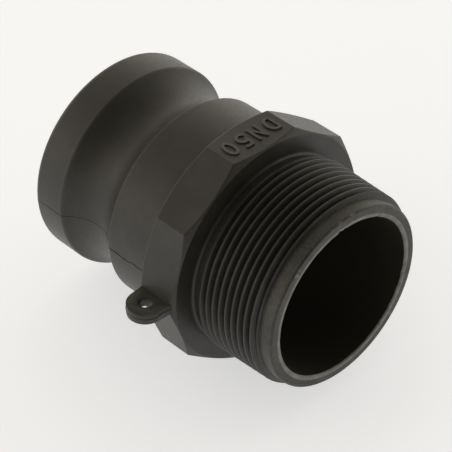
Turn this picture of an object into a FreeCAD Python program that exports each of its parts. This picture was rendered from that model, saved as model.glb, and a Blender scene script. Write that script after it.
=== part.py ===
import FreeCAD, Part

import math
import os

# Camlock adapter with a male pipe thread, nominal size 2 inch (DN 50), in black polypropylene.
# One injection moulding, split at its natural edges into closed solids that meet face to face.
#
# Millimetres. +X runs along the flow bore, from the nose that presses on the coupler's gasket
# (x = 0) to the thread's end. +Z is the normal of the flat that carries the size mark.
# The tether lug stands out towards -Y, in the plane z = 0 where the two mould halves meet.

# --- flow bore -----------------------------------------------------------------------------
BORE_RADIUS = 24.1          # straight through
MOUTH_ROUND = 0.6           # rounded edge of the bore at the thread's end

# --- cam head, groove and guide collar -----------------------------------------------------
HEAD_RADIUS = 31.5          # 63.0 mm across, standard for this size
HEAD_LENGTH = 11.0
HEAD_NOSE_ROUND = 2.0       # leads the head past the coupler's cams
HEAD_BACK_ROUND = 1.6       # runs smoothly into the groove
GROOVE_LENGTH = 20.3
GROOVE_ROOT_RADIUS = 26.7
COLLAR_RADIUS = 30.95
COLLAR_LENGTH = 17.7
COLLAR_ROUND = 0.5          # likewise, on the collar's side

# --- wrench section ------------------------------------------------------------------------
WRENCH_SIDES = 10
WRENCH_FLATS = 70.0         # across flats
WRENCH_LENGTH = 13.25
WRENCH_CHAMFER_ANGLE = 35.0  # between the corner's chamfer cone and the end face
WRENCH_CHAMFER_INSET = 0.25  # the cone starts this far inside the flats

# --- size mark -----------------------------------------------------------------------------
MARK_TEXT = "DN50"
MARK_HEIGHT = 6.0
MARK_WIDTH = 3.5
MARK_PITCH = 5.0
MARK_STROKE = 0.85
MARK_RELIEF = 0.4

# --- tether lug ----------------------------------------------------------------------------
LUG_THICKNESS = 3.2
LUG_END_RADIUS = 5.3
LUG_REACH = 3.2             # from the wrench section's corner to the centre of the lug's end
LUG_HOLE_RADIUS = 2.0
LUG_ROOT_WIDTH = 12.2
LUG_ROOT_SINK = 1.5         # the outline starts this far inside the corner, then is cut to it

# --- pipe thread: R 2, taper 1:16 on diameter, 55 degree form ------------------------------
THREAD_PITCH = 25.4 / 11
THREAD_GAUGE_RADIUS = 59.614 / 2
THREAD_GAUGE_LENGTH = 15.9  # from the small end of the fitting to the gauge plane
THREAD_TAPER = 1 / 32       # on radius
THREAD_DEPTH = 0.640327 * THREAD_PITCH
THREAD_CREST_WIDTH = THREAD_PITCH / 6
THREAD_FLANK_ANGLE = 27.5
THREAD_LENGTH = 21.8
THREAD_START_CHAMFER = 1.1  # both ends of the thread fade out over this length
THREAD_CREST_OFFSET = 0.74  # a crest stands this far in front of the thread's back end, on top
RIDGE_SINK = 0.3            # the swept ridge is rooted this deep in the tube under it

# --- neck and lead-in ----------------------------------------------------------------------
NECK_LENGTH = 2.85
NECK_ROUND = 0.9            # hollow corner against the wrench section's face
LEAD_IN_LENGTH = 4.1
LEAD_IN_RADIUS = 27.8
LEAD_IN_BEVEL = 0.5         # outer edge of the end face

# --- mould parting line --------------------------------------------------------------------
FLASH_WIDTH = 0.3
FLASH_HEIGHT = 0.15
FLASH_BASE_RADIUS = (BORE_RADIUS + GROOVE_ROOT_RADIUS) / 2  # drawn from here, then cut to the skin

# --- places along the axis -----------------------------------------------------------------
GROOVE_START = HEAD_LENGTH
COLLAR_START = GROOVE_START + GROOVE_LENGTH
WRENCH_START = COLLAR_START + COLLAR_LENGTH
NECK_START = WRENCH_START + WRENCH_LENGTH
THREAD_START = NECK_START + NECK_LENGTH
LEAD_IN_START = THREAD_START + THREAD_LENGTH
TOTAL_LENGTH = LEAD_IN_START + LEAD_IN_LENGTH

GAUGE_X = TOTAL_LENGTH - THREAD_GAUGE_LENGTH
HALF_SIDE_ANGLE = math.radians(180 / WRENCH_SIDES)
FLAT_DISTANCE = WRENCH_FLATS / 2
CORNER_DISTANCE = FLAT_DISTANCE / math.cos(HALF_SIDE_ANGLE)
LUG_CENTRE_X = WRENCH_START + WRENCH_LENGTH / 2 + 0.3
LUG_CENTRE_Y = -(CORNER_DISTANCE + LUG_REACH)

AXIS = FreeCAD.Vector(1, 0, 0)
ORIGIN = FreeCAD.Vector(0, 0, 0)


def crest_radius(x):
    """Radius of the thread's crest cone at x."""
    return THREAD_GAUGE_RADIUS + (GAUGE_X - x) * THREAD_TAPER


def root_radius(x):
    """Radius of the thread's root cone at x."""
    return crest_radius(x) - THREAD_DEPTH


def rounded_wire(corners):
    """Closed wire in the XZ plane through (x, radius, round) corners, each rounded by its arc."""
    points = [FreeCAD.Vector(x, 0, r) for x, r, _ in corners]
    starts = []
    ends = []
    middles = []
    for i, (_, _, size) in enumerate(corners):
        corner = points[i]
        back = (points[i - 1] - corner).normalize()
        ahead = (points[(i + 1) % len(points)] - corner).normalize()
        half = back.getAngle(ahead) / 2
        trim = size / math.tan(half)
        bisector = (back + ahead).normalize()
        centre = corner + bisector * (size / math.sin(half))
        starts.append(corner + back * trim)
        ends.append(corner + ahead * trim)
        middles.append(centre - bisector * size)
    edges = []
    for i, (_, _, size) in enumerate(corners):
        if size > 0:
            edges.append(Part.Arc(starts[i], middles[i], ends[i]).toShape())
        following = starts[(i + 1) % len(corners)]
        if ends[i].distanceToPoint(following) > 1e-6:
            edges.append(Part.makeLine(ends[i], following))
    return Part.Wire(edges)


def turned(wire):
    """Solid of revolution about the flow bore's axis."""
    return Part.Face(wire).revolve(ORIGIN, AXIS, 360)


def along_x(wire_or_face, length):
    """Extrusion along the bore."""
    return wire_or_face.extrude(FreeCAD.Vector(length, 0, 0))


def head_section(base, rise):
    """Section of the head above radius base, its outer outline lifted by rise."""
    return rounded_wire([
        (0, base, 0),
        (0, HEAD_RADIUS + rise, HEAD_NOSE_ROUND),
        (HEAD_LENGTH, HEAD_RADIUS + rise, 0),
        (HEAD_LENGTH, base, 0),
    ])


def cam_head():
    """Round head: its nose seats on the coupler's gasket."""
    return turned(head_section(BORE_RADIUS, 0))


def groove_arc():
    """Place along the bore and radius of the hollow arc that touches both lips' roundings."""
    front_rise = HEAD_RADIUS - GROOVE_ROOT_RADIUS
    back_rise = COLLAR_RADIUS - GROOVE_ROOT_RADIUS
    front_term = (front_rise - HEAD_BACK_ROUND) ** 2 - HEAD_BACK_ROUND ** 2
    back_term = (back_rise - COLLAR_ROUND) ** 2 - COLLAR_ROUND ** 2
    # (m^2 + front_term) / front_rise = ((GROOVE_LENGTH - m)^2 + back_term) / back_rise
    square = back_rise - front_rise
    linear = 2 * GROOVE_LENGTH * front_rise
    constant = front_term * back_rise - (back_term + GROOVE_LENGTH ** 2) * front_rise
    middle = -2 * constant / (linear + math.sqrt(linear ** 2 - 4 * square * constant))
    return GROOVE_START + middle, (middle ** 2 + front_term) / (2 * front_rise)


def groove_section(base, rise):
    """Section of the waist: one hollow arc that runs smoothly into a rounding at each lip."""
    middle, arc_radius = groove_arc()
    arc_centre = FreeCAD.Vector(middle, 0, GROOVE_ROOT_RADIUS + arc_radius + rise)
    front = FreeCAD.Vector(GROOVE_START, 0, HEAD_RADIUS + rise)
    back = FreeCAD.Vector(COLLAR_START, 0, COLLAR_RADIUS + rise)
    up = FreeCAD.Vector(0, 0, 1)
    edges = []
    joints = []
    for lip, size in ((front, HEAD_BACK_ROUND), (back, COLLAR_ROUND)):
        lip_centre = lip - up * size
        outward = (arc_centre - lip_centre).normalize()
        joint = lip_centre + outward * size
        halfway = (up + outward).normalize()
        edges.append(Part.Arc(lip, lip_centre + halfway * size, joint).toShape())
        joints.append(joint)
    root = FreeCAD.Vector(middle, 0, GROOVE_ROOT_RADIUS + rise)
    inner_front = FreeCAD.Vector(GROOVE_START, 0, base)
    inner_back = FreeCAD.Vector(COLLAR_START, 0, base)
    return Part.Wire([
        Part.makeLine(inner_front, front),
        edges[0],
        Part.Arc(joints[0], root, joints[1]).toShape(),
        edges[1],
        Part.makeLine(back, inner_back),
        Part.makeLine(inner_back, inner_front),
    ])


def cam_groove():
    """Waist that the coupler's cam arms lock into."""
    return turned(groove_section(BORE_RADIUS, 0))


def collar_section(base, rise):
    """Section of the collar above radius base, its outer outline lifted by rise."""
    return rounded_wire([
        (COLLAR_START, base, 0),
        (COLLAR_START, COLLAR_RADIUS + rise, 0),
        (WRENCH_START, COLLAR_RADIUS + rise, 0),
        (WRENCH_START, base, 0),
    ])


def guide_collar():
    """Plain round collar that fits the coupler's bore."""
    return turned(collar_section(BORE_RADIUS, 0))


def wrench_decagon():
    """Ten-sided prism with its corners chamfered by a cone at both ends."""
    corners = []
    for i in range(WRENCH_SIDES + 1):
        angle = (2 * i + 1) * HALF_SIDE_ANGLE
        y = CORNER_DISTANCE * math.sin(angle)
        z = CORNER_DISTANCE * math.cos(angle)
        corners.append(FreeCAD.Vector(WRENCH_START, y, z))
    prism = along_x(Part.Face(Part.makePolygon(corners)), WRENCH_LENGTH)
    start_radius = FLAT_DISTANCE - WRENCH_CHAMFER_INSET
    rise = CORNER_DISTANCE - start_radius + 1
    run = rise * math.tan(math.radians(WRENCH_CHAMFER_ANGLE))
    end = WRENCH_START + WRENCH_LENGTH
    envelope = [
        (WRENCH_START, BORE_RADIUS, 0),
        (WRENCH_START, start_radius, 0),
        (WRENCH_START + run, start_radius + rise, 0),
        (end - run, start_radius + rise, 0),
        (end, start_radius, 0),
        (end, BORE_RADIUS, 0),
    ]
    return prism.common(turned(rounded_wire(envelope)))


def stroke(points, closed=False):
    """Outline face of a pen stroke of MARK_STROKE width along points of (across, up)."""
    corners = [FreeCAD.Vector(u, v, 0) for u, v in points]
    if not closed:
        wire = Part.makePolygon(corners)
        return Part.Face(wire.makeOffset2D(MARK_STROKE / 2, 0, False, False))
    wire = Part.makePolygon(corners + corners[:1])
    outer = Part.Face(wire.makeOffset2D(MARK_STROKE / 2))
    inner = Part.Face(wire.makeOffset2D(-MARK_STROKE / 2))
    return outer.cut(inner)


def bowl(centre_u, centre_v, radius_u, radius_v, start, stop, steps=12):
    """Points of an elliptical arc, in degrees anticlockwise from the right."""
    points = []
    for i in range(steps + 1):
        angle = math.radians(start + (stop - start) * i / steps)
        points.append((centre_u + radius_u * math.cos(angle), centre_v + radius_v * math.sin(angle)))
    return points


def glyph(letter):
    """Face of one letter, MARK_WIDTH by MARK_HEIGHT over the pen's edges."""
    wide = MARK_WIDTH - MARK_STROKE
    tall = MARK_HEIGHT - MARK_STROKE
    middle = tall / 2
    if letter == "D":
        right = bowl(wide - middle * 0.7, middle, middle * 0.7, middle, 90, -90)
        return stroke([(0, 0), (0, tall)] + right, closed=True)
    if letter == "N":
        return stroke([(0, 0), (0, tall), (wide, 0), (wide, tall)])
    if letter == "5":
        belly = bowl(wide * 0.42, tall * 0.32, wide * 0.58, tall * 0.32, 115, -140)
        return stroke([(wide * 0.9, tall), (wide * 0.14, tall), (wide * 0.08, tall * 0.52)] + belly)
    if letter == "0":
        ring = bowl(wide / 2, middle, wide / 2, middle, 0, 345, 23)
        return stroke(ring, closed=True)
    raise ValueError("no outline for " + letter)


def size_mark():
    """Raised letters on the top flat, their tops towards the thread."""
    span = MARK_PITCH * (len(MARK_TEXT) - 1) + MARK_WIDTH - MARK_STROKE
    letters = []
    for i, letter in enumerate(MARK_TEXT):
        solid = glyph(letter).extrude(FreeCAD.Vector(0, 0, MARK_RELIEF))
        solid.translate(FreeCAD.Vector(i * MARK_PITCH - span / 2, (MARK_STROKE - MARK_HEIGHT) / 2, 0))
        letters.append(solid)
    mark = Part.makeCompound(letters)
    mark.rotate(ORIGIN, FreeCAD.Vector(0, 0, 1), -90)
    mark.translate(FreeCAD.Vector(WRENCH_START + WRENCH_LENGTH / 2, 0, FLAT_DISTANCE))
    return mark


def tether_lug():
    """Flat ear in the parting plane, with a hole for a dust cap's chain."""
    root_y = -(CORNER_DISTANCE - LUG_ROOT_SINK)
    half_root = LUG_ROOT_WIDTH / 2
    below = -LUG_THICKNESS / 2
    rear_root = FreeCAD.Vector(LUG_CENTRE_X - half_root, root_y, below)
    front_root = FreeCAD.Vector(LUG_CENTRE_X + half_root, root_y, below)
    rear_tip = FreeCAD.Vector(LUG_CENTRE_X - LUG_END_RADIUS, LUG_CENTRE_Y, below)
    front_tip = FreeCAD.Vector(LUG_CENTRE_X + LUG_END_RADIUS, LUG_CENTRE_Y, below)
    far_tip = FreeCAD.Vector(LUG_CENTRE_X, LUG_CENTRE_Y - LUG_END_RADIUS, below)
    outline = Part.Wire([
        Part.makeLine(front_root, rear_root),
        Part.makeLine(rear_root, rear_tip),
        Part.Arc(rear_tip, far_tip, front_tip).toShape(),
        Part.makeLine(front_tip, front_root),
    ])
    ear = Part.Face(outline).extrude(FreeCAD.Vector(0, 0, LUG_THICKNESS))
    centre = FreeCAD.Vector(LUG_CENTRE_X, LUG_CENTRE_Y, below - 1)
    hole = Part.makeCylinder(LUG_HOLE_RADIUS, LUG_THICKNESS + 2, centre, FreeCAD.Vector(0, 0, 1))
    return ear.cut(hole).cut(wrench_decagon())


def thread_neck():
    """Plain run-out behind the thread, with a hollow corner against the wrench section."""
    root = root_radius(THREAD_START)
    foot = root + NECK_ROUND
    lean = NECK_ROUND * (1 - math.sin(math.radians(45)))
    top = FreeCAD.Vector(NECK_START, 0, foot)
    mid = FreeCAD.Vector(NECK_START + lean, 0, root + lean)
    low = FreeCAD.Vector(NECK_START + NECK_ROUND, 0, root)
    end = FreeCAD.Vector(THREAD_START, 0, root)
    inner_end = FreeCAD.Vector(THREAD_START, 0, BORE_RADIUS)
    inner_start = FreeCAD.Vector(NECK_START, 0, BORE_RADIUS)
    return turned(Part.Wire([
        Part.Arc(top, mid, low).toShape(),
        Part.makeLine(low, end),
        Part.makeLine(end, inner_end),
        Part.makeLine(inner_end, inner_start),
        Part.makeLine(inner_start, top),
    ]))


def thread_ridge():
    """One helical ridge of trapezoid section, longer than the thread at both ends."""
    first_crest = THREAD_START + THREAD_CREST_OFFSET
    turns_ahead = math.ceil((LEAD_IN_START - first_crest) / THREAD_PITCH) + 1
    front = first_crest + turns_ahead * THREAD_PITCH
    height = front - THREAD_START + THREAD_PITCH
    taper_angle = math.degrees(math.atan(THREAD_TAPER))
    slope = math.tan(math.radians(THREAD_FLANK_ANGLE))
    base = root_radius(front) - RIDGE_SINK
    half_tip = THREAD_CREST_WIDTH / 4
    tip = crest_radius(front) + half_tip / slope
    half_base = THREAD_CREST_WIDTH / 2 + (THREAD_DEPTH + RIDGE_SINK) * slope
    corners = [
        FreeCAD.Vector(base, 0, -half_base),
        FreeCAD.Vector(base, 0, half_base),
        FreeCAD.Vector(tip, 0, half_tip),
        FreeCAD.Vector(tip, 0, -half_tip),
    ]
    profile = Part.makePolygon(corners + corners[:1])
    helix = Part.makeLongHelix(THREAD_PITCH, height, base, taper_angle)
    pipe = Part.BRepOffsetAPI.MakePipeShell(Part.Wire(helix))
    pipe.setFrenetMode(True)
    pipe.add(profile)
    pipe.build()
    pipe.makeSolid()
    ridge = pipe.shape()
    ridge.rotate(ORIGIN, FreeCAD.Vector(0, 1, 0), -90)
    ridge.translate(FreeCAD.Vector(front, 0, 0))
    return ridge


def pipe_thread():
    """Tapered tube with the helical ridge, cut to the crest cone and faded at both ends."""
    start = THREAD_START
    end = LEAD_IN_START
    tube = turned(rounded_wire([
        (start, BORE_RADIUS, 0),
        (start, root_radius(start), 0),
        (end, LEAD_IN_RADIUS, 0),
        (end, BORE_RADIUS, 0),
    ]))
    fade = THREAD_START_CHAMFER
    envelope = turned(rounded_wire([
        (start, BORE_RADIUS - 1, 0),
        (start, root_radius(start), 0),
        (start + fade, crest_radius(start + fade), 0),
        (end - fade, crest_radius(end - fade), 0),
        (end, LEAD_IN_RADIUS, 0),
        (end, BORE_RADIUS - 1, 0),
    ]))
    return tube.fuse(thread_ridge().common(envelope))


def lead_in_rim():
    """Plain lead-in in front of the thread, with the end face and the bore's mouth."""
    outline = [
        (LEAD_IN_START, BORE_RADIUS, 0),
        (LEAD_IN_START, LEAD_IN_RADIUS, 0),
        (TOTAL_LENGTH - LEAD_IN_BEVEL, LEAD_IN_RADIUS, LEAD_IN_BEVEL / 2),
        (TOTAL_LENGTH, LEAD_IN_RADIUS - LEAD_IN_BEVEL, LEAD_IN_BEVEL / 2),
        (TOTAL_LENGTH, BORE_RADIUS, MOUTH_ROUND),
    ]
    return turned(rounded_wire(outline))


def parting_flash():
    """Fine raised line on both sides, where the mould halves meet, from the nose to the wrench."""
    zones = [(head_section, cam_head), (groove_section, cam_groove), (collar_section, guide_collar)]
    strips = []
    for section, zone in zones:
        solid = zone()
        slab = Part.Face(section(FLASH_BASE_RADIUS, FLASH_HEIGHT))
        slab = slab.extrude(FreeCAD.Vector(0, FLASH_WIDTH, 0))
        slab.translate(FreeCAD.Vector(0, -FLASH_WIDTH / 2, 0))
        for side in (90, -90):
            turned_slab = slab.copy()
            turned_slab.rotate(ORIGIN, AXIS, side)
            strips.extend(turned_slab.cut(solid).Solids)
    return Part.makeCompound(strips)


PARTS = {
    "cam_head": cam_head,
    "cam_groove": cam_groove,
    "guide_collar": guide_collar,
    "wrench_decagon": wrench_decagon,
    "size_mark": size_mark,
    "tether_lug": tether_lug,
    "thread_neck": thread_neck,
    "pipe_thread": pipe_thread,
    "lead_in_rim": lead_in_rim,
    "parting_flash": parting_flash,
}


def main():
    """Builds each zone and writes one STEP file per node."""
    os.makedirs("parts", exist_ok=True)
    for name, make in PARTS.items():
        shape = make()
        if not shape.isValid():
            raise ValueError(name + " is not a valid shape")
        for solid in shape.Solids:
            if not solid.isClosed():
                raise ValueError(name + " is not closed")
        shape.exportStep(os.path.join("parts", name + ".step"))
        print(name, len(shape.Solids), "solid(s)", round(shape.Volume), "mm3")


main()
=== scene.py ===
"""Looks of a 2 inch cam-and-groove adapter with a male pipe thread, moulded in black polypropylene.

The fitting is one moulding. Each zone of it is its own piece here and stands for the frame's node
of the same name. Metres; +X runs along the flow bore from the nose to the thread's end.
"""

import logging
import math
from dataclasses import dataclass
from enum import Enum
from typing import Callable

import bpy
import numpy as np
from mathutils import Matrix, Vector, noise

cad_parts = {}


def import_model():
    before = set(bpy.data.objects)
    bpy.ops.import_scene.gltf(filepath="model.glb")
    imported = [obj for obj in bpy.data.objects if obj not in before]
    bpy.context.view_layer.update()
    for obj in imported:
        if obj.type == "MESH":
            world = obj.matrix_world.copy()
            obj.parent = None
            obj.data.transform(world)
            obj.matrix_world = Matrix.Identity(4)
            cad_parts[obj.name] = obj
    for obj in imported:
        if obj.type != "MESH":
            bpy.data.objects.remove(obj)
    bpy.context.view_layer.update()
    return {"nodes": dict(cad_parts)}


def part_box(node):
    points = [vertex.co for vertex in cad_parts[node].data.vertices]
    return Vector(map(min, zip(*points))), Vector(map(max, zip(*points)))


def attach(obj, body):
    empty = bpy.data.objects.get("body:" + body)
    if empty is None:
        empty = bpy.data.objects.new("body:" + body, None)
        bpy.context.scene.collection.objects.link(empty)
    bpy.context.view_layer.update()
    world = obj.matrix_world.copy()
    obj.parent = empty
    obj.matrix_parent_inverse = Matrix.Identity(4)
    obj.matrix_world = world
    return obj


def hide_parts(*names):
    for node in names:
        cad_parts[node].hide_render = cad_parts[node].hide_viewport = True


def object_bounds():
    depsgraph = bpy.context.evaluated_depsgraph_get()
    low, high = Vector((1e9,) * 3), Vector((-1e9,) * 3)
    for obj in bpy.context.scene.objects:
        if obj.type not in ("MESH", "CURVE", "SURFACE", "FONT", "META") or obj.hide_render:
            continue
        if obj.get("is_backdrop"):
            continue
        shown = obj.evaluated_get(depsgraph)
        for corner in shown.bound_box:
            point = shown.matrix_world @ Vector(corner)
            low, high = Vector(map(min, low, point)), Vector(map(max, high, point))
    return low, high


log = logging.getLogger("adapter")

Outline = list[tuple[float, float]]
Corners = list[tuple[float, float, float]]

ROOT_BODY = "root"
SPIN_STEPS = 240
MERGE_DISTANCE = 1e-6


def mm(value: float) -> float:
    """Millimetres in metres."""
    return value / 1000


BORE_RADIUS = mm(24.1)
# drawing marks are this much finer along the bore than round it
DRAW_SHARE = 0.125
# share of the scratch pattern's range that one scratch line takes
SCRATCH_WIDTH = 0.02
PLASTIC_IOR = 1.49
# edges sharper than this many degrees stay crisp; the second is for finely faceted curves
CRISP = 32
CRISP_FINE = 60
# rings this close to a hidden mating edge keep the pale tint of its sharp corner to a thin line; on
# the skin that line is a painted highlight
GUARD = mm(0.15)


def linear(hex_colour: str) -> tuple[float, float, float, float]:
    """Turns an sRGB colour into the linear values that shaders take.

    Args:
        hex_colour: Colour as "#rrggbb".

    Returns:
        Linear red, green and blue, and an alpha of 1.
    """
    values = [int(hex_colour[i:i + 2], 16) / 255 for i in (1, 3, 5)]
    parts = [v / 12.92 if v <= 0.04045 else ((v + 0.055) / 1.055) ** 2.4 for v in values]
    return (parts[0], parts[1], parts[2], 1.0)


def per_feature(size_mm: float) -> float:
    """Texture scale at which a pattern's features are about size_mm across."""
    return 1 / mm(size_mm)


def soft_min(a: np.ndarray, b: np.ndarray, blend: float) -> np.ndarray:
    """Smaller of two surfaces, with a rounded edge where they cross.

    Args:
        a: First surface's radius at each vertex.
        b: Second surface's radius at each vertex.
        blend: Difference in radius below which the two are blended.

    Returns:
        The blended radius at each vertex.
    """
    share = np.maximum(blend - np.abs(a - b), 0) / blend
    return np.minimum(a, b) - share * share * blend / 4


# --- finishes -----------------------------------------------------------------------------------


class Skin(Enum):
    """How a patch of the mould was finished, which the plastic copies."""

    TURNED = "turned steel, lightly polished"
    CORE = "drawn core pin"
    SCUFFED = "turned steel, and the moulding knocked about since"


@dataclass(frozen=True)
class MouldedPolypropylene:
    """Glass-filled black polypropylene as it leaves the mould.

    Carbon black gives a warm near-black body. The glass near the skin breaks the gloss into a fine
    satin grain with faint paler clouds; sharp edges turn a little grey, part wear, part painted
    highlight.
    """

    name: str
    skin: Skin = Skin.TURNED
    body: str = "#26241e"
    cloud: str = "#2f2d27"
    # pale grey of scratches and of sharp edges; on the edges it is partly wear and partly painted
    # highlight
    knocked: str = "#75736c"
    cloud_mm: float = 8.0
    grain_mm: float = 0.7
    grain_depth_mm: float = 0.03
    roughness: float = 0.43
    roughness_swing: float = 0.14
    # how pale sharp edges turn: part wear, part painted highlight
    edge_wear_and_highlight: float = 0.5
    scuff_share: float = 0.0
    scuff_mm: float = 3.0
    specular: float = 0.5

    def material(self) -> bpy.types.Material:
        """Builds the node material.

        Returns:
            The material, its patterns placed by object coordinates.
        """
        made = bpy.data.materials.new(self.name)
        made.use_nodes = True
        tree = made.node_tree
        tree.nodes.clear()
        place = add_node(tree, "ShaderNodeTexCoord").outputs["Object"]
        clouds = add_node(
            tree, "ShaderNodeTexNoise",
            {"Vector": place, "Scale": per_feature(self.cloud_mm), "Detail": 5.0, "Roughness": 0.6})
        grain_place = place
        if self.skin is Skin.CORE:
            # drawing the core out leaves long marks
            drawn = add_node(
                tree, "ShaderNodeMapping", {"Vector": place, "Scale": (DRAW_SHARE, 1, 1)})
            grain_place = drawn.outputs["Vector"]
        grain = add_node(
            tree, "ShaderNodeTexNoise",
            {"Vector": grain_place, "Scale": per_feature(self.grain_mm), "Detail": 4.0,
             "Roughness": 0.65})
        cloud_share = add_node(
            tree, "ShaderNodeMapRange",
            {"Value": clouds.outputs["Fac"], "From Min": 0.40, "From Max": 0.66})
        bulk = add_node(
            tree, "ShaderNodeMix",
            {"Factor": cloud_share.outputs["Result"], "A": linear(self.body),
             "B": linear(self.cloud)},
            data_type="RGBA")
        # sharp edges, found by Pointiness, turn pale: part wear, part painted highlight
        sharp = add_node(tree, "ShaderNodeNewGeometry")
        worn_and_highlit_edges = add_node(
            tree, "ShaderNodeMapRange",
            {"Value": sharp.outputs["Pointiness"], "From Min": 0.53, "From Max": 0.62,
             "To Max": self.edge_wear_and_highlight})
        wear_and_highlight = add_node(
            tree, "ShaderNodeMath",
            {0: worn_and_highlit_edges.outputs["Result"], 1: grain.outputs["Fac"]}, operation="MULTIPLY")
        if self.skin is Skin.SCUFFED:
            wear_and_highlight = self.scuffed(tree, place, wear_and_highlight)
        colour = add_node(
            tree, "ShaderNodeMix",
            {"Factor": wear_and_highlight.outputs["Value"], "A": bulk.outputs["Result"],
             "B": linear(self.knocked)},
            data_type="RGBA")
        gloss = add_node(
            tree, "ShaderNodeMapRange",
            {"Value": grain.outputs["Fac"], "From Min": 0.3, "From Max": 0.7,
             "To Min": self.roughness - self.roughness_swing / 2,
             "To Max": self.roughness + self.roughness_swing / 2})
        relief = add_node(
            tree, "ShaderNodeBump",
            {"Height": grain.outputs["Fac"], "Strength": 0.4, "Distance": mm(self.grain_depth_mm)})
        shader = add_node(
            tree, "ShaderNodeBsdfPrincipled",
            {"Base Color": colour.outputs["Result"], "Roughness": gloss.outputs["Result"],
             "Normal": relief.outputs["Normal"], "IOR": PLASTIC_IOR,
             "Specular IOR Level": self.specular})
        add_node(tree, "ShaderNodeOutputMaterial", {"Surface": shader.outputs["BSDF"]})
        return made

    def scuffed(
        self, tree: bpy.types.NodeTree, place: bpy.types.NodeSocket, wear_and_highlight: bpy.types.Node,
    ) -> bpy.types.Node:
        """Adds fine pale scratch lines to the pale edge tint.

        Args:
            tree: Node tree to add to.
            place: Object coordinates.
            wear_and_highlight: Node whose value is the pale edge tint so far, part wear and part
                painted highlight.

        Returns:
            The node whose value is the pale edge tint with the scratches.
        """
        field = add_node(
            tree, "ShaderNodeTexNoise",
            {"Vector": place, "Scale": per_feature(self.scuff_mm), "Detail": 6.0, "Roughness": 0.7,
             "Distortion": 0.6})
        centred = add_node(
            tree, "ShaderNodeMath", {0: field.outputs["Fac"], 1: 0.5}, operation="SUBTRACT")
        width = add_node(
            tree, "ShaderNodeMath", {0: centred.outputs["Value"]}, operation="ABSOLUTE")
        lines = add_node(
            tree, "ShaderNodeMapRange",
            {"Value": width.outputs["Value"], "From Max": SCRATCH_WIDTH,
             "To Min": self.scuff_share, "To Max": 0.0})
        return add_node(
            tree, "ShaderNodeMath",
            {0: wear_and_highlight.outputs["Value"], 1: lines.outputs["Result"]}, operation="ADD", use_clamp=True)


def add_node(
    tree: bpy.types.NodeTree,
    kind: str,
    inputs: dict[str | int, object] | None = None,
    **settings: object,
) -> bpy.types.Node:
    """Adds a node with its settings, values and links.

    Args:
        tree: Node tree to add to.
        kind: Node type.
        inputs: Socket name or number to a value, or to the output socket that feeds it.
        settings: Properties of the node itself.

    Returns:
        The new node.
    """
    made = tree.nodes.new(kind)
    for key, value in settings.items():
        setattr(made, key, value)
    for key, value in (inputs or {}).items():
        sockets = [s for s in made.inputs if s.enabled]
        socket = sockets[key] if isinstance(key, int) else next(s for s in sockets if s.name == key)
        if isinstance(value, bpy.types.NodeSocket):
            tree.links.new(value, socket)
        else:
            socket.default_value = value
    return made


# --- modelling steps ----------------------------------------------------------------------------


def select_none() -> None:
    """Leaves edit mode and deselects every object."""
    if bpy.context.object and bpy.context.object.mode != "OBJECT":
        bpy.ops.object.mode_set(mode="OBJECT")
    bpy.ops.object.select_all(action="DESELECT")


def rounded(corners: Corners, steps: int = 10) -> Outline:
    """Closed outline through corners, each replaced by an arc.

    Args:
        corners: Place along the bore, radius and rounding of each corner, in metres.
        steps: Facets in each arc.

    Returns:
        The outline's points.
    """
    points: Outline = []
    for i, (x, r, size) in enumerate(corners):
        corner = Vector((x, r))
        if size <= 0:
            points.append((x, r))
            continue
        back = (Vector(corners[i - 1][:2]) - corner).normalized()
        ahead = (Vector(corners[(i + 1) % len(corners)][:2]) - corner).normalized()
        half = back.angle(ahead) / 2
        centre = corner + (back + ahead).normalized() * (size / math.sin(half))
        start = corner + back * (size / math.tan(half)) - centre
        stop = corner + ahead * (size / math.tan(half)) - centre
        sweep = start.angle_signed(stop)
        for k in range(steps + 1):
            turn = Matrix.Rotation(-sweep * k / steps, 2)
            points.append(tuple(centre + turn @ start))
    return points


def spun(name: str, outline: Outline, steps: int = SPIN_STEPS) -> bpy.types.Object:
    """Spins a closed outline round the bore.

    Args:
        name: Name of the new piece.
        outline: Points of place along the bore and radius.
        steps: Facets round the bore.

    Returns:
        The closed ring, its faces pointing outwards.
    """
    select_none()
    x, r = outline[0]
    bpy.ops.mesh.primitive_plane_add(size=mm(1), location=(x, 0, r))
    piece = bpy.context.object
    piece.name = name
    bpy.ops.object.transform_apply(location=True, rotation=True, scale=True)
    bpy.ops.object.mode_set(mode="EDIT")
    bpy.ops.mesh.select_all(action="SELECT")
    bpy.ops.mesh.merge(type="CENTER")
    for next_x, next_r in outline[1:] + outline[:1]:
        bpy.ops.mesh.extrude_region_move(
            TRANSFORM_OT_translate={"value": (next_x - x, 0, next_r - r)})
        x, r = next_x, next_r
    bpy.ops.mesh.select_all(action="SELECT")
    bpy.ops.mesh.remove_doubles(threshold=MERGE_DISTANCE)
    bpy.ops.mesh.spin(steps=steps, angle=2 * math.pi, center=(0, 0, 0), axis=(1, 0, 0))
    close_up()
    return piece


def close_up() -> None:
    """Merges doubles and turns faces outwards in edit mode, then leaves it."""
    bpy.ops.mesh.select_all(action="SELECT")
    bpy.ops.mesh.remove_doubles(threshold=MERGE_DISTANCE)
    bpy.ops.mesh.normals_make_consistent(inside=False)
    bpy.ops.object.mode_set(mode="OBJECT")


def reshape(piece: bpy.types.Object, shape: Callable[[np.ndarray], np.ndarray]) -> None:
    """Passes a piece's vertices through a function of their places.

    Args:
        piece: Piece to change.
        shape: Takes and returns an array of places, one row each.
    """
    places = np.zeros(len(piece.data.vertices) * 3)
    piece.data.vertices.foreach_get("co", places)
    piece.data.vertices.foreach_set("co", shape(places.reshape(-1, 3)).ravel())
    piece.data.update()


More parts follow.
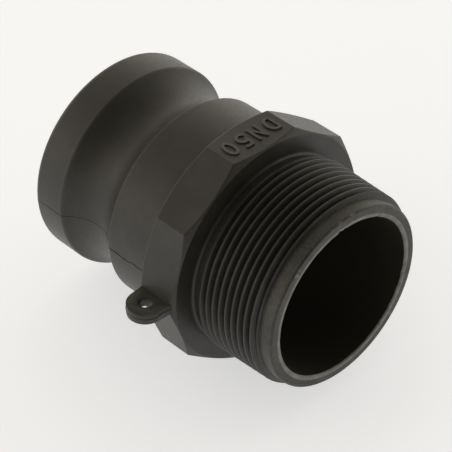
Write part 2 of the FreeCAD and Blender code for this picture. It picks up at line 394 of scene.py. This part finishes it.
def apply_modifier(piece: bpy.types.Object, kind: str, **settings: object) -> None:
    """Adds a modifier with its settings and applies it.

    Args:
        piece: Piece to change.
        kind: Modifier type.
        settings: The modifier's properties.
    """
    select_none()
    bpy.context.view_layer.objects.active = piece
    piece.select_set(True)
    modifier = piece.modifiers.new(kind.title(), kind)
    for key, value in settings.items():
        setattr(modifier, key, value)
    bpy.ops.object.modifier_apply(modifier=modifier.name)


def dress(
    piece: bpy.types.Object,
    node: str,
    material: bpy.types.Material,
    wall: bpy.types.Material | None = None,
    angle: float = CRISP,
) -> None:
    """Gives a finished piece its shading, finish and place in the frame.

    Args:
        piece: Finished piece.
        node: Frame node that it stands for.
        material: Its finish.
        wall: Finish of its faces on the flow bore, where it has any.
        angle: Edges sharper than this many degrees stay crisp.
    """
    select_none()
    bpy.context.view_layer.objects.active = piece
    piece.select_set(True)
    bpy.ops.object.shade_smooth_by_angle(angle=math.radians(angle))
    piece.data.materials.clear()
    piece.data.materials.append(material)
    # bore faces take the near-black wall finish, painted shade inside the bore
    if wall:
        refinish(piece, wall, on_bore)
    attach(piece, ROOT_BODY)
    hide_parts(node)
    log.info("%s: %d faces", piece.name, len(piece.data.polygons))


def on_bore(place: Vector) -> bool:
    """Whether a face's centre lies on the flow bore's wall."""
    return math.hypot(place.y, place.z) < BORE_RADIUS + mm(0.02)


def refinish(
    piece: bpy.types.Object, material: bpy.types.Material, chosen: Callable[[Vector], bool],
) -> None:
    """Gives some of a piece's faces another finish.

    Args:
        piece: Piece to change.
        material: The other finish.
        chosen: Says from a face's centre whether it takes the finish.
    """
    piece.data.materials.append(material)
    for face in piece.data.polygons:
        if chosen(face.center):
            face.material_index = len(piece.data.materials) - 1


@dataclass
class Span:
    """Stretch of the bore's axis that a frame node fills, and its outer radius."""

    node: str

    def __post_init__(self) -> None:
        """Reads the node's box from the frame."""
        low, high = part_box(self.node)
        self.start = low.x
        self.end = high.x
        self.radius = high.z


# --- head, groove and collar --------------------------------------------------------------------


@dataclass
class CouplerEnd:
    """The end that a coupler clips onto: round head, hollow groove and plain collar."""

    finish: bpy.types.Material
    core_with_painted_shade: bpy.types.Material
    # finish of the parting line, its near-black body painted shadow
    torn: bpy.types.Material
    nose_round: float = mm(2.0)
    mouth_round: float = mm(0.5)
    head_back_round: float = mm(1.6)
    groove_root: float = mm(26.7)
    collar_round: float = mm(0.5)
    lip_steps: int = 14
    arc_steps: int = 56
    flash_width: float = mm(0.38)
    flash_height: float = mm(0.15)
    flash_foot: float = mm(0.1)
    flash_step: float = mm(0.2)
    torn_length: float = mm(21.0)
    torn_blend: float = mm(3.0)
    sway: float = mm(1.3)
    sway_step: float = mm(4.0)
    tear_step: float = mm(0.8)
    tear_seed: int = 5
    calm_share: float = 0.1
    neat_share: float = 0.35
    nose_turn: float = math.radians(-80)

    def head(self) -> bpy.types.Object:
        """Round head with a full rounding at the nose."""
        at = Span("cam_head")
        return spun("cam_head_ring", rounded([
            (at.start, BORE_RADIUS, self.mouth_round),
            (at.start, at.radius, self.nose_round),
            (at.end - GUARD, at.radius, 0),
            (at.end, at.radius, 0),
            (at.end, BORE_RADIUS, 0)]))

    def groove(self) -> bpy.types.Object:
        """Hollow waist that runs smoothly into both lips."""
        at = Span("cam_groove")
        return spun("cam_groove_waist", [
            (at.start, BORE_RADIUS), *self.waist_line(), (at.end, BORE_RADIUS)])

    def waist_line(self) -> Outline:
        """Outline of the waist from the head's edge to the collar's edge.

        Returns:
            Points of the front lip, the hollow arc that touches it, and the back lip.
        """
        at = Span("cam_groove")
        length = at.end - at.start
        front_rise = Span("cam_head").radius - self.groove_root
        back_rise = Span("guide_collar").radius - self.groove_root
        front_term = (front_rise - self.head_back_round) ** 2 - self.head_back_round ** 2
        back_term = (back_rise - self.collar_round) ** 2 - self.collar_round ** 2
        square = back_rise - front_rise
        slope = 2 * length * front_rise
        constant = front_term * back_rise - (back_term + length ** 2) * front_rise
        middle = -2 * constant / (slope + math.sqrt(slope ** 2 - 4 * square * constant))
        radius = (middle ** 2 + front_term) / (2 * front_rise)
        centre = Vector((at.start + middle, self.groove_root + radius))
        front = Vector((at.start, self.groove_root + front_rise - self.head_back_round))
        back = Vector((at.end, self.groove_root + back_rise - self.collar_round))
        front_turn = math.atan2(centre.x - front.x, centre.y - front.y)
        back_turn = math.atan2(centre.x - back.x, centre.y - back.y)
        return (
            arc(front, self.head_back_round, 0, front_turn, self.lip_steps)
            + arc(centre, radius, front_turn - math.pi, back_turn - math.pi, self.arc_steps)[1:-1]
            + arc(back, self.collar_round, back_turn, 0, self.lip_steps))

    def collar(self) -> bpy.types.Object:
        """Plain collar."""
        at = Span("guide_collar")
        return spun("guide_collar_ring", rounded([
            (at.start, BORE_RADIUS, 0),
            (at.start, at.radius, 0),
            (at.start + GUARD, at.radius, 0),
            (at.end - GUARD, at.radius, 0),
            (at.end, at.radius, 0),
            (at.end, BORE_RADIUS, 0)]))

    def skin_line(self) -> Outline:
        """Outline of the skin from the nose's rounding to the collar's far edge."""
        head = Span("cam_head")
        collar = Span("guide_collar")
        nose = Vector((head.start + self.nose_round, head.radius - self.nose_round))
        return (
            arc(nose, self.nose_round, self.nose_turn, 0, self.lip_steps)
            + self.waist_line()
            + [(collar.end, collar.radius)])

    def flash(self) -> bpy.types.Object:
        """Raised line that the two mould halves left down both sides, torn on the collar."""
        strips = [self.flash_strip(side) for side in (-1, 1)]
        select_none()
        for strip in strips:
            strip.select_set(True)
        bpy.context.view_layer.objects.active = strips[0]
        bpy.ops.object.join()
        strips[0].name = "mould_parting_line"
        return strips[0]

    def flash_strip(self, side: int) -> bpy.types.Object:
        """One side's line, a low ridge with its foot sunk into the skin.

        Args:
            side: -1 for the ear's side of the fitting, 1 for the other.

        Returns:
            The closed strip.
        """
        line = np.array(self.skin_line())
        along = np.concatenate(([0], np.cumsum(np.hypot(*np.diff(line, axis=0).T))))
        cells = round(along[-1] / self.flash_step)
        select_none()
        bpy.ops.mesh.primitive_grid_add(x_subdivisions=cells, y_subdivisions=4, size=1)
        strip = bpy.context.object

        def lay(places: np.ndarray) -> np.ndarray:
            """Wraps the flat grid into a ridge and lays it along the skin."""
            gone = (places[:, 0] + 0.5) * along[-1]
            column = np.rint((places[:, 1] + 0.5) * 4).astype(int)
            x = np.interp(gone, along, line[:, 0])
            r = np.interp(gone, along, line[:, 1])
            ahead = np.minimum(gone + self.flash_step, along[-1])
            behind = np.maximum(gone - self.flash_step, 0)
            run = np.interp(ahead, along, line[:, 0]) - np.interp(behind, along, line[:, 0])
            climb = np.interp(ahead, along, line[:, 1]) - np.interp(behind, along, line[:, 1])
            length = np.hypot(run, climb)
            torn = np.clip((gone - along[-1] + self.torn_length) / self.torn_blend, 0, 1)
            loose = self.calm_share + (1 - self.calm_share) * torn
            sway = self.wander(gone, self.sway_step, side) * self.sway * loose
            tear = np.abs(self.wander(gone, self.tear_step, side + self.tear_seed))
            crest = self.flash_height * (self.neat_share + torn * (0.1 + 1.1 * tear))
            half = self.flash_width / 2 * (self.neat_share + torn * (0.25 + tear))
            out = np.choose(column, [-self.flash_foot, 0 * r, crest, 0 * r, -self.flash_foot])
            wide = np.choose(column, [0 * r, -half, 0 * r, half, 0 * r]) + sway
            x = x - climb / length * out
            r = r + run / length * out
            return np.stack([x, side * r * np.cos(wide / r), r * np.sin(wide / r)], axis=1)

        reshape(strip, lay)
        bpy.ops.object.mode_set(mode="EDIT")
        bpy.ops.mesh.select_all(action="SELECT")
        bpy.ops.mesh.remove_doubles(threshold=MERGE_DISTANCE)
        bpy.ops.mesh.fill_holes(sides=4)
        close_up()
        return strip

    @staticmethod
    def wander(gone: np.ndarray, step: float, seed: int) -> np.ndarray:
        """Smooth random wandering between about -1 and 1.

        Args:
            gone: Distances along the line.
            step: Distance over which the wandering turns.
            seed: Keeps two lines apart.

        Returns:
            The value at each distance.
        """
        return np.array([noise.noise(Vector((g / step, seed * 7.3, 0.5))) for g in gone])

    def build(self) -> None:
        """Makes and dresses the three rings and the parting line."""
        dress(self.head(), "cam_head", self.finish, self.core_with_painted_shade)
        dress(self.groove(), "cam_groove", self.finish, self.core_with_painted_shade)
        dress(self.collar(), "guide_collar", self.finish, self.core_with_painted_shade)
        dress(self.flash(), "parting_flash", self.torn)


def arc(centre: Vector, radius: float, start: float, stop: float, steps: int) -> Outline:
    """Points of an arc, its angles measured from straight out towards the thread's end.

    Args:
        centre: Place along the bore and radius of the arc's centre.
        radius: The arc's own radius.
        start: First angle.
        stop: Last angle.
        steps: Facets.

    Returns:
        The points, both ends included.
    """
    angles = [start + (stop - start) * k / steps for k in range(steps + 1)]
    return [
        (centre.x + radius * math.sin(angle), centre.y + radius * math.cos(angle))
        for angle in angles]


# --- wrench section, mark and lug ---------------------------------------------------------------


@dataclass
class WrenchSection:
    """Ten-sided section that a wrench grips, its corners taken off by a cone at both ends.

    The flats field is the distance from the bore's axis to a flat.
    """

    finish: bpy.types.Material
    core_with_painted_shade: bpy.types.Material
    sides: int = 10
    flats: float = mm(35.0)
    chamfer_inset: float = mm(0.25)
    chamfer_degrees: float = 35.0
    corner_blend: float = mm(0.12)
    cone_blend: float = mm(0.3)
    end_zone: float = mm(2.4)
    end_stations: int = 22
    crowding: float = 2.2
    rim_width: float = mm(0.15)

    def stations(self, at: Span) -> list[float]:
        """Places along the bore of the rings that carry the flats, close together at both ends."""
        step = self.end_zone / self.end_stations
        near = [at.start + k * step for k in range(self.end_stations + 1)]
        far = [at.end - k * step for k in range(self.end_stations + 1)]
        return near + [(at.start + at.end) / 2] + far[::-1]

    def cut(self, places: np.ndarray, at: Span) -> np.ndarray:
        """Brings the outer rings onto the flats and the chamfer cones.

        Args:
            places: Vertices of the spun ring.
            at: Stretch that the section fills.

        Returns:
            The vertices' new places.
        """
        x = places[:, 0]
        radius = np.hypot(places[:, 1], places[:, 2])
        angle = np.arctan2(places[:, 1], places[:, 2])
        pitch = 2 * math.pi / self.sides
        corner = (np.floor(angle / pitch) + 0.5) * pitch
        offset = (angle - corner) / (pitch / 2)
        angle = corner + np.sign(offset) * np.abs(offset) ** self.crowding * pitch / 2
        away = angle - corner
        one = self.flats / np.cos(away + pitch / 2)
        other = self.flats / np.cos(away - pitch / 2)
        flats = soft_min(one, other, self.corner_blend)
        inset = self.flats - self.chamfer_inset
        slope = math.tan(math.radians(self.chamfer_degrees))
        cone = inset + np.minimum(x - at.start, at.end - x) / slope
        outer = radius > inset - mm(0.01)
        radius = np.where(outer, soft_min(flats, cone, self.cone_blend), radius)
        rim = outer & (np.minimum(x - at.start, at.end - x) < mm(0.01))
        radius = np.where(rim, inset, radius)
        return np.stack([x, radius * np.sin(angle), radius * np.cos(angle)], axis=1)

    def build(self) -> None:
        """Makes and dresses the section."""
        at = Span("wrench_decagon")
        outer = self.flats / math.cos(math.pi / self.sides)
        edge = self.flats - self.chamfer_inset - self.rim_width
        outline = [(at.start, BORE_RADIUS), (at.start, BORE_RADIUS + GUARD), (at.start, edge)]
        outline += [(x, outer) for x in self.stations(at)]
        outline += [(at.end, edge), (at.end, BORE_RADIUS + GUARD), (at.end, BORE_RADIUS)]
        steps = 36 * self.sides
        section = spun("wrench_section", outline, steps)
        reshape(section, lambda places: self.cut(places, at))
        dress(section, "wrench_decagon", self.finish, self.core_with_painted_shade, CRISP_FINE)


@dataclass
class TetherLug:
    """Flat ear with a hole for a dust cap's chain."""

    finish: bpy.types.Material
    end_radius: float = mm(5.3)
    hole_radius: float = mm(2.0)
    root_half_width: float = mm(5.6)
    root_inside: float = mm(1.5)
    edge_round: float = mm(0.4)
    seam_width: float = mm(0.3)
    seam_height: float = mm(0.14)
    edge_segments: int = 96
    hole_segments: int = 48

    def build(self) -> None:
        """Makes and dresses the ear."""
        low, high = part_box("tether_lug")
        _, wrench_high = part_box("wrench_decagon")
        thickness = high.z - low.z
        centre_y = low.y + self.end_radius
        centre_x = (low.x + high.x) / 2
        root_y = -(wrench_high.y - self.root_inside)
        select_none()
        bpy.ops.mesh.primitive_circle_add(
            vertices=self.edge_segments, radius=self.end_radius,
            location=(centre_x, centre_y, low.z), fill_type="NGON")
        ear = bpy.context.object
        ear.name = "tether_ear"
        bpy.ops.object.transform_apply(location=True)

        def stretch(places: np.ndarray) -> np.ndarray:
            """Draws the inner half of the disc out to a flared root."""
            inner = places[:, 1] > centre_y + mm(0.01)
            side = (places[:, 0] - centre_x) / self.end_radius
            out = places.copy()
            out[inner, 0] = centre_x + np.clip(side[inner], -1, 1) * self.root_half_width
            out[inner, 1] = root_y
            return out

        reshape(ear, stretch)
        bpy.ops.object.mode_set(mode="EDIT")
        bpy.ops.mesh.select_all(action="SELECT")
        shoulder = (thickness - self.seam_width) / 2
        for rise in (shoulder, self.seam_width / 2, self.seam_width / 2, shoulder):
            bpy.ops.mesh.extrude_region_move(TRANSFORM_OT_translate={"value": (0, 0, rise)})
        close_up()

        def seam(places: np.ndarray) -> np.ndarray:
            """Draws out the ridge that the two mould halves leave round the ear's edge."""
            middle = np.abs(places[:, 2] - (low.z + high.z) / 2) < self.seam_width / 4
            tip = middle & (places[:, 1] <= centre_y + mm(0.01))
            out = places.copy()
            out[tip, 0] += (places[tip, 0] - centre_x) / self.end_radius * self.seam_height
            out[tip, 1] += (places[tip, 1] - centre_y) / self.end_radius * self.seam_height
            return out

        reshape(ear, seam)
        select_none()
        bpy.ops.mesh.primitive_cylinder_add(
            vertices=self.hole_segments, radius=self.hole_radius, depth=thickness * 2,
            location=(centre_x, centre_y, (low.z + high.z) / 2))
        drill = bpy.context.object
        apply_modifier(ear, "BOOLEAN", object=drill, operation="DIFFERENCE", solver="EXACT")
        bpy.data.objects.remove(drill)
        apply_modifier(ear, "BEVEL", width=self.edge_round, segments=3, limit_method="ANGLE",
                       angle_limit=math.radians(50))
        dress(ear, "tether_lug", self.finish)


# --- thread end ---------------------------------------------------------------------------------

# nicks in the mouth's edge: degrees round from the top towards +Y, depth, half width
KNOCKS = (
    (-5.0, mm(0.45), mm(0.5)),
    (-1.0, mm(0.30), mm(0.35)),
    (30.0, mm(0.40), mm(0.6)),
    (-148.0, mm(0.25), mm(0.5)),
    (104.0, mm(0.30), mm(0.4)))


@dataclass
class PipeEnd:
    """Tapered male pipe thread with its run-out neck and plain lead-in."""

    finish: bpy.types.Material
    rim_finish: bpy.types.Material
    mouth_wear_and_highlight: bpy.types.Material
    core_with_painted_shade: bpy.types.Material
    pitch: float = mm(25.4 / 11)
    gauge_radius: float = mm(59.614 / 2)
    gauge_length: float = mm(15.9)
    taper: float = 1 / 32
    flank_degrees: float = 27.5
    crest_offset: float = mm(0.74)
    fade: float = mm(1.1)
    front_fade: float = mm(0.6)
    lead_in_radius: float = mm(27.8)
    end_bevel: float = mm(0.5)
    form_blend: float = mm(0.08)
    mouth_round: float = mm(0.6)
    neck_round: float = mm(0.9)
    form_points: int = 24
    turn_steps: int = 180
    rim_steps: int = 720
    burr_depth: float = mm(0.12)
    burr_step: float = mm(1.6)
    mouth_band_width: float = mm(1.3)
    knocks: tuple[tuple[float, float, float], ...] = KNOCKS

    def __post_init__(self) -> None:
        """Works out the thread's depth and the gauge plane's place."""
        self.depth = 0.640327 * self.pitch
        self.gauge_x = Span("lead_in_rim").end - self.gauge_length

    def crest(self, x: np.ndarray | float) -> np.ndarray | float:
        """Radius of the crest cone at x."""
        return self.gauge_radius + (self.gauge_x - x) * self.taper

    def form(self) -> Outline:
        """One pitch of the form, from root to root, as offset along the bore and height."""
        slope = math.tan(math.radians(self.flank_degrees))
        points = []
        for k in range(self.form_points + 1):
            offset = (k / self.form_points - 0.5) * self.pitch
            flank = self.depth - (abs(offset) - self.pitch / 12) / slope
            height = float(soft_min(np.array(flank), np.array(self.depth), self.form_blend))
            height = -float(soft_min(np.array(-height), np.array(0.0), self.form_blend))
            points.append((offset, height))
        return points

    def thread(self) -> bpy.types.Object:
        """Right-hand helical ridge on a tapered tube, fading out at both ends."""
        at = Span("pipe_thread")
        first = at.start + self.crest_offset - 2 * self.pitch
        form = self.form()
        root = self.gauge_radius - self.depth
        select_none()
        x, r = first + form[0][0], root + form[0][1]
        bpy.ops.mesh.primitive_plane_add(size=mm(1), location=(x, 0, r))
        piece = bpy.context.object
        piece.name = "pipe_thread_helix"
        bpy.ops.object.transform_apply(location=True)
        bpy.ops.object.mode_set(mode="EDIT")
        bpy.ops.mesh.select_all(action="SELECT")
        bpy.ops.mesh.merge(type="CENTER")
        for offset, height in form[1:]:
            bpy.ops.mesh.extrude_region_move(
                TRANSFORM_OT_translate={"value": (first + offset - x, 0, root + height - r)})
            x, r = first + offset, root + height
        bpy.ops.object.mode_set(mode="OBJECT")
        turns = math.ceil((at.end - at.start) / self.pitch) + 4
        apply_modifier(
            piece, "SCREW", axis="X", angle=2 * math.pi, screw_offset=self.pitch, iterations=turns,
            steps=self.turn_steps, render_steps=self.turn_steps, use_merge_vertices=True,
            merge_threshold=MERGE_DISTANCE)
        bpy.ops.object.mode_set(mode="EDIT")
        bpy.ops.mesh.select_all(action="SELECT")
        bpy.ops.mesh.remove_doubles(threshold=MERGE_DISTANCE)
        for cut_x, outer in ((at.start, False), (at.end, True)):
            bpy.ops.mesh.select_all(action="SELECT")
            bpy.ops.mesh.bisect(
                plane_co=(cut_x, 0, 0), plane_no=(1, 0, 0),
                clear_inner=not outer, clear_outer=outer)
        bpy.ops.object.mode_set(mode="OBJECT")
        reshape(piece, lambda places: self.taper_and_fade(places, at))
        self.line_with_bore(piece)
        return piece

    def taper_and_fade(self, places: np.ndarray, at: Span) -> np.ndarray:
        """Gives the straight thread its taper, then cuts its ends back along two cones.

        Args:
            places: Vertices of the straight thread.
            at: Stretch that the thread fills.

        Returns:
            The vertices' new places.
        """
        x = places[:, 0]
        angle = np.arctan2(places[:, 1], places[:, 2])
        radius = np.hypot(places[:, 1], places[:, 2]) + (self.gauge_x - x) * self.taper
        begin = self.crest(at.start) - self.depth
        behind = begin + (x - at.start) * (self.crest(at.start + self.fade) - begin) / self.fade
        ahead = self.lead_in_radius + (at.end - x) * (
            self.crest(at.end - self.front_fade) - self.lead_in_radius) / self.front_fade
        radius = np.minimum(radius, np.minimum(behind, ahead))
        edge = (x < at.start + MERGE_DISTANCE) | (x > at.end - MERGE_DISTANCE)
        ends = np.where(x < (at.start + at.end) / 2, begin, self.lead_in_radius)
        radius = np.where(edge, ends, radius)
        return np.stack([x, radius * np.sin(angle), radius * np.cos(angle)], axis=1)

    def line_with_bore(self, piece: bpy.types.Object) -> None:
        """Closes the shell: draws both open ends in to the bore and joins them through it.

        Args:
            piece: Open thread shell.
        """
        select_none()
        bpy.context.view_layer.objects.active = piece
        piece.select_set(True)
        bpy.ops.object.mode_set(mode="EDIT")
        bpy.ops.mesh.select_mode(type="EDGE")
        bpy.ops.mesh.select_all(action="DESELECT")
        bpy.ops.mesh.select_non_manifold(extend=False)
        bpy.ops.mesh.extrude_edges_move(TRANSFORM_OT_translate={"value": (0, 0, 0)})
        bpy.ops.object.mode_set(mode="OBJECT")
        for vertex in piece.data.vertices:
            if vertex.select:
                scale = BORE_RADIUS / math.hypot(vertex.co.y, vertex.co.z)
                vertex.co.y *= scale
                vertex.co.z *= scale
        bpy.ops.object.mode_set(mode="EDIT")
        bpy.ops.mesh.bridge_edge_loops()
        bpy.ops.mesh.select_mode(type="VERT")
        close_up()

    def neck(self) -> bpy.types.Object:
        """Plain run-out behind the thread, with a hollow corner at the wrench section."""
        at = Span("thread_neck")
        root = self.crest(at.end) - self.depth
        outline = [(at.start, BORE_RADIUS), (at.start, root + self.neck_round)]
        for k in range(1, 13):
            turn = math.radians(90 * k / 12)
            outline.append((
                at.start + self.neck_round * (1 - math.cos(turn)),
                root + self.neck_round * (1 - math.sin(turn))))
        outline += [(at.end - GUARD, root), (at.end, root), (at.end, BORE_RADIUS)]
        return spun("thread_neck_ring", outline)

    def rim(self) -> bpy.types.Object:
        """Plain lead-in with the end face and the bore's mouth, both a little knocked."""
        at = Span("lead_in_rim")
        ring = spun("lead_in_ring", rounded([
            (at.start, BORE_RADIUS, 0),
            (at.start, self.lead_in_radius, 0),
            (at.start + GUARD, self.lead_in_radius, 0),
            (at.end - self.end_bevel, self.lead_in_radius, self.end_bevel / 2),
            (at.end, self.lead_in_radius - self.end_bevel, self.end_bevel / 2),
            (at.end, BORE_RADIUS + self.mouth_band_width, 0),
            (at.end, BORE_RADIUS, self.mouth_round)]), self.rim_steps)
        reshape(ring, lambda places: self.knock(places, at.end))
        return ring

    def knock(self, places: np.ndarray, end: float) -> np.ndarray:
        """Wears the mouth's edge back unevenly and sinks a few nicks in it.

        Args:
            places: Vertices of the spun ring.
            end: Where the end face lies along the bore.

        Returns:
            The vertices' new places.
        """
        x = places[:, 0]
        angle = np.arctan2(places[:, 1], places[:, 2])
        radius = np.hypot(places[:, 1], places[:, 2])
        near_end = x > end - self.mouth_round * 0.98
        waver = np.array([
            noise.noise(Vector((math.cos(a), math.sin(a), 0)) * BORE_RADIUS / self.burr_step)
            for a in angle])
        back = self.burr_depth * np.clip(waver, 0, 1)
        for where, depth, width in self.knocks:
            off = (angle - math.radians(where) + math.pi) % (2 * math.pi) - math.pi
            back = back + depth * np.exp(-(off * BORE_RADIUS / width) ** 2)
        inner = np.clip(1 - (radius - BORE_RADIUS) / self.mouth_band_width, 0, 1)
        x = np.where(near_end, x - back * inner, x)
        return np.stack([x, places[:, 1], places[:, 2]], axis=1)

    def build(self) -> None:
        """Makes and dresses the neck, the thread and the lead-in."""
        dress(self.neck(), "thread_neck", self.finish, self.core_with_painted_shade)
        dress(self.thread(), "pipe_thread", self.finish, self.core_with_painted_shade, CRISP_FINE)
        rim = self.rim()
        dress(rim, "lead_in_rim", self.rim_finish, self.core_with_painted_shade)
        end = Span("lead_in_rim").end

        def at_mouth(place: Vector) -> bool:
            """Whether a face's centre lies on the pale band round the bore's mouth, part wear and
            part painted highlight.
            """
            near = math.hypot(place.y, place.z) < BORE_RADIUS + self.mouth_band_width
            return near and place.x > end - self.mouth_round and not on_bore(place)

        # pale band round the mouth: part wear, part painted highlight
        refinish(rim, self.mouth_wear_and_highlight, at_mouth)


# --- studio -------------------------------------------------------------------------------------


@dataclass
class Studio:
    """White light tent round the fitting, open on the front right, and the camera."""

    azimuth: float = 46.6
    elevation: float = 40.37
    roll: float = -1.09
    distance: float = mm(576.26)
    lens_mm: float = 164.1
    aim_x: float = mm(45.6)
    shift_right: float = mm(0.0588)
    shift_up: float = mm(1.5805)
    floor_size: float = 6.0
    wall_glow: float = 1.55
    roof_glow: float = 0.42
    opening: tuple[float, float, float] = (0.85, -0.35, 0.40)
    opening_share: float = 0.2
    floor_glow: float = 0.55

    def camera(self) -> None:
        """Places the camera at its azimuth, elevation and roll round the aim point."""
        az, el, roll = (math.radians(v) for v in (self.azimuth, self.elevation, self.roll))
        look = Vector((-math.sin(az) * math.cos(el), math.cos(az) * math.cos(el), -math.sin(el)))
        level = Vector((math.cos(az), math.sin(az), 0))
        over = level.cross(look)
        right = level * math.cos(roll) + over * math.sin(roll)
        up = over * math.cos(roll) - level * math.sin(roll)
        place = Vector((self.aim_x, 0, 0)) - look * self.distance
        place -= right * self.shift_right + up * self.shift_up
        data = bpy.data.cameras.new("camera")
        data.lens = self.lens_mm
        data.sensor_width = 36.0
        data.clip_start = mm(10)
        seer = bpy.data.objects.new("camera", data)
        bpy.context.scene.collection.objects.link(seer)
        axes = Matrix((right, up, -look)).transposed().to_4x4()
        seer.matrix_world = Matrix.Translation(place) @ axes
        bpy.context.scene.camera = seer

    def floor(self) -> None:
        """Lays a plain pale sheet under the fitting."""
        low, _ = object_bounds()
        select_none()
        bpy.ops.mesh.primitive_plane_add(size=self.floor_size, location=(0, 0, low.z - mm(0.05)))
        sheet = bpy.context.object
        sheet.name = "floor"
        made = bpy.data.materials.new("white_paper_sweep")
        made.use_nodes = True
        shader = made.node_tree.nodes["Principled BSDF"]
        shader.inputs["Base Color"].default_value = linear("#d9dce2")
        shader.inputs["Roughness"].default_value = 0.9
        shader.inputs["Emission Color"].default_value = linear("#ffffff")
        shader.inputs["Emission Strength"].default_value = self.floor_glow
        sheet.data.materials.append(made)
        sheet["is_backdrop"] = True

    def tent(self) -> None:
        """Lights the fitting from all round, less from the side where the tent is open."""
        world = bpy.data.worlds.new("light_tent")
        world.use_nodes = True
        bpy.context.scene.world = world
        tree = world.node_tree
        tree.nodes.clear()
        direction = add_node(tree, "ShaderNodeTexCoord").outputs["Generated"]
        height = add_node(tree, "ShaderNodeSeparateXYZ", {"Vector": direction}).outputs["Z"]
        walls = add_node(
            tree, "ShaderNodeMapRange",
            {"Value": height, "From Min": 0.05, "From Max": 0.9,
             "To Min": self.wall_glow, "To Max": self.roof_glow})
        towards = add_node(
            tree, "ShaderNodeVectorMath", {0: direction, 1: Vector(self.opening).normalized()},
            operation="DOT_PRODUCT")
        shade = add_node(
            tree, "ShaderNodeMapRange",
            {"Value": towards.outputs["Value"], "From Min": 0.2, "From Max": 0.9,
             "To Min": 1.0, "To Max": self.opening_share})
        level = add_node(
            tree, "ShaderNodeMath",
            {0: walls.outputs["Result"], 1: shade.outputs["Result"]}, operation="MULTIPLY")
        glow = add_node(
            tree, "ShaderNodeBackground",
            {"Color": linear("#fff8ea"), "Strength": level.outputs["Value"]})
        add_node(tree, "ShaderNodeOutputWorld", {"Surface": glow.outputs["Background"]})

    def build(self) -> None:
        """Sets up the tent, the floor and the camera."""
        self.tent()
        self.floor()
        self.camera()
        bpy.context.scene.view_settings.view_transform = "Standard"
        bpy.context.scene.view_settings.look = "None"


def main() -> None:
    """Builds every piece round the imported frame."""
    logging.basicConfig(level=logging.INFO, format="%(name)s: %(message)s")
    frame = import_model()
    # as it leaves a turned and lightly polished mould
    plain = MouldedPolypropylene("polypropylene_turned_mould").material()
    # the thread insert's copy, rubbed by the fittings it was screwed into; its darker body is
    # painted shade in the grooves and its strong edge tint is partly painted highlight on the
    # crests
    thread_painted_shade_and_highlight = MouldedPolypropylene(
        "polypropylene_thread_insert_painted_shade_and_highlight", Skin.SCUFFED, body="#1c1a15", cloud="#24221d",
        roughness=0.46, edge_wear_and_highlight=0.85,
        scuff_share=0.08).material()
    # the lead-in, greyed by handling; its strong pale tint on sharp edges is partly painted
    # highlight
    rim = MouldedPolypropylene(
        "polypropylene_scuffed_and_edge_highlit_end", Skin.SCUFFED, body="#211f1a", cloud="#34322b", roughness=0.48,
        edge_wear_and_highlight=0.9, scuff_share=0.22).material()
    # the edge of the bore's mouth, which takes the knocks and shows the pale glass; its pale colour
    # is partly a painted highlight on the rounding
    mouth = MouldedPolypropylene(
        "polypropylene_worn_and_highlit_mouth_edge", Skin.SCUFFED, body="#5c5a54", cloud="#7a7871",
        cloud_mm=3.0, roughness=0.42, edge_wear_and_highlight=0.9, scuff_share=0.3).material()
    # the dull wall that the core pin leaves; its near-black colour is painted shade inside the bore
    core_with_painted_shade = MouldedPolypropylene(
        "polypropylene_core_pin_painted_shade", Skin.CORE, body="#171609", cloud="#1a190d",
        grain_depth_mm=0.008, roughness=0.75, roughness_swing=0.04, edge_wear_and_highlight=0.0,
        specular=0.3).material()
    # thin plastic torn at the mould's parting line, a little browned; its near-black body is
    # painted shadow along the ridge
    torn = MouldedPolypropylene(
        "polypropylene_torn_flash_painted_shadow", body="#0d0a07", cloud="#3a2416", cloud_mm=2.0,
        roughness=0.7, edge_wear_and_highlight=0.0, specular=0.15).material()
    CouplerEnd(plain, core_with_painted_shade, torn).build()
    WrenchSection(plain, core_with_painted_shade).build()
    TetherLug(plain).build()
    PipeEnd(thread_painted_shade_and_highlight, rim, mouth, core_with_painted_shade).build()
    mark = frame["nodes"]["size_mark"]
    mark.data.materials.clear()
    mark.data.materials.append(plain)
    Studio().build()


if __name__ == "__main__":
    main()
